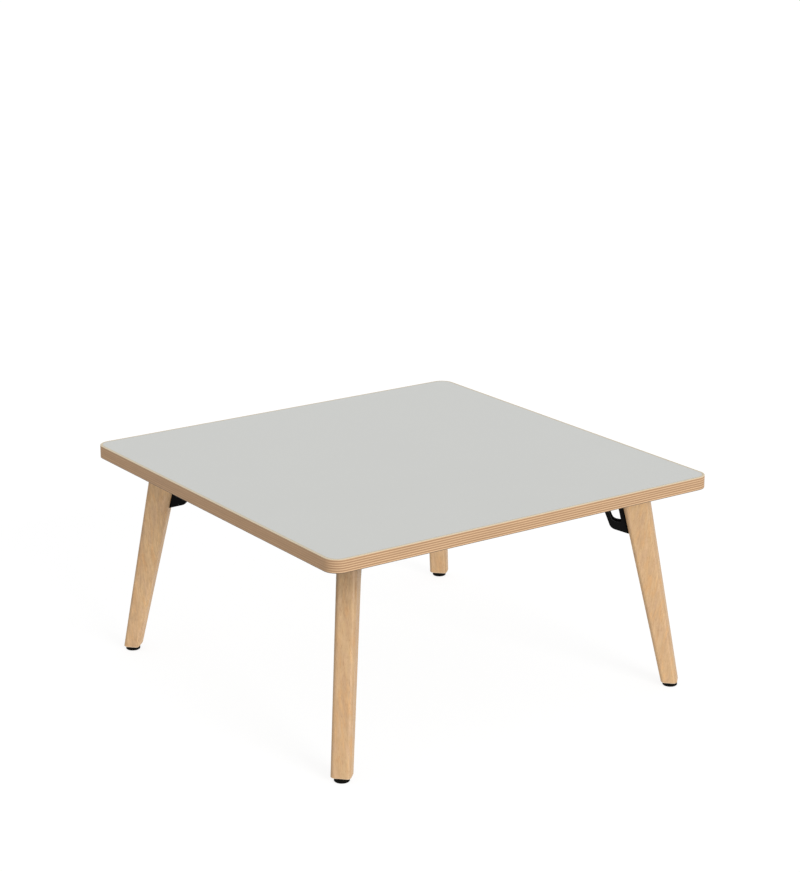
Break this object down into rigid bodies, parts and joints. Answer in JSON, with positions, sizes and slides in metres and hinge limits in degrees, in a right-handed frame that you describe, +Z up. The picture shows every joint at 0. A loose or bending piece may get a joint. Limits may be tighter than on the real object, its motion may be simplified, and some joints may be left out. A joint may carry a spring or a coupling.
{
  "type": "low table",
  "caption": "Low square table with a grey laminated plywood top, splayed tapered wooden legs on black steel brackets, and screw-adjustable levelling feet.",
  "frame": {"origin": "on the floor, below the middle of the top", "axes": "+Z up; X and Y along the top's sides, -Y out of the side that faces right and forward in the picture"},
  "size_m": [0.75, 0.75, 0.3775],
  "materials": {
    "plywood": "clear matt lacquer on a bare layered edge",
    "grey_laminate": "light grey high-pressure laminate, fine matt texture",
    "backing_laminate": "plain grey balancing laminate",
    "leg_wood": "pale hardwood, clear matt lacquer",
    "black_steel": "matt black powder coat",
    "black_screw": "black oxide",
    "zinc_steel": "zinc plated",
    "black_nylon": "moulded black nylon"
  },
  "bodies": {
    "table": {"top_core": "plywood", "top_laminate": "grey_laminate", "underside_laminate": "backing_laminate", "front_leg": "leg_wood", "front_bracket": "black_steel", "right_leg": "leg_wood", "right_bracket": "black_steel", "back_leg": "leg_wood", "back_bracket": "black_steel", "left_leg": "leg_wood", "left_bracket": "black_steel", "bracket_screws": "black_screw", "top_inserts": "zinc_steel", "leg_bolts": "black_screw", "leg_washers": "black_screw", "leg_inserts": "zinc_steel", "glide_inserts": "zinc_steel"},
    "front_stem": {"front_glide_stem": "zinc_steel"},
    "front_pad": {"front_glide_pad": "black_nylon"},
    "right_stem": {"right_glide_stem": "zinc_steel"},
    "right_pad": {"right_glide_pad": "black_nylon"},
    "back_stem": {"back_glide_stem": "zinc_steel"},
    "back_pad": {"back_glide_pad": "black_nylon"},
    "left_stem": {"left_glide_stem": "zinc_steel"},
    "left_pad": {"left_glide_pad": "black_nylon"}
  },
  "joints": [
    {"name": "front_foot_travel", "type": "slide", "parent": "table", "child": "front_stem", "axis": [0, 0, -1], "range_m": [0, 0.006]},
    {"name": "front_foot_turn", "type": "hinge", "parent": "front_stem", "child": "front_pad", "pos_m": [-0.33588, -0.33588, 0], "axis": [0, 0, -1], "range_deg": [0, 1720]},
    {"name": "right_foot_travel", "type": "slide", "parent": "table", "child": "right_stem", "axis": [0, 0, -1], "range_m": [0, 0.006]},
    {"name": "right_foot_turn", "type": "hinge", "parent": "right_stem", "child": "right_pad", "pos_m": [0.33588, -0.33588, 0], "axis": [0, 0, -1], "range_deg": [0, 1720]},
    {"name": "back_foot_travel", "type": "slide", "parent": "table", "child": "back_stem", "axis": [0, 0, -1], "range_m": [0, 0.006]},
    {"name": "back_foot_turn", "type": "hinge", "parent": "back_stem", "child": "back_pad", "pos_m": [0.33588, 0.33588, 0], "axis": [0, 0, -1], "range_deg": [0, 1720]},
    {"name": "left_foot_travel", "type": "slide", "parent": "table", "child": "left_stem", "axis": [0, 0, -1], "range_m": [0, 0.006]},
    {"name": "left_foot_turn", "type": "hinge", "parent": "left_stem", "child": "left_pad", "pos_m": [-0.33588, 0.33588, 0], "axis": [0, 0, -1], "range_deg": [0, 1720]}
  ],
  "couplings": [
    {"joint": "front_foot_travel", "follows": "front_foot_turn", "m_per_rad": 0.00019894},
    {"joint": "right_foot_travel", "follows": "right_foot_turn", "m_per_rad": 0.00019894},
    {"joint": "back_foot_travel", "follows": "back_foot_turn", "m_per_rad": 0.00019894},
    {"joint": "left_foot_travel", "follows": "left_foot_turn", "m_per_rad": 0.00019894}
  ]
}
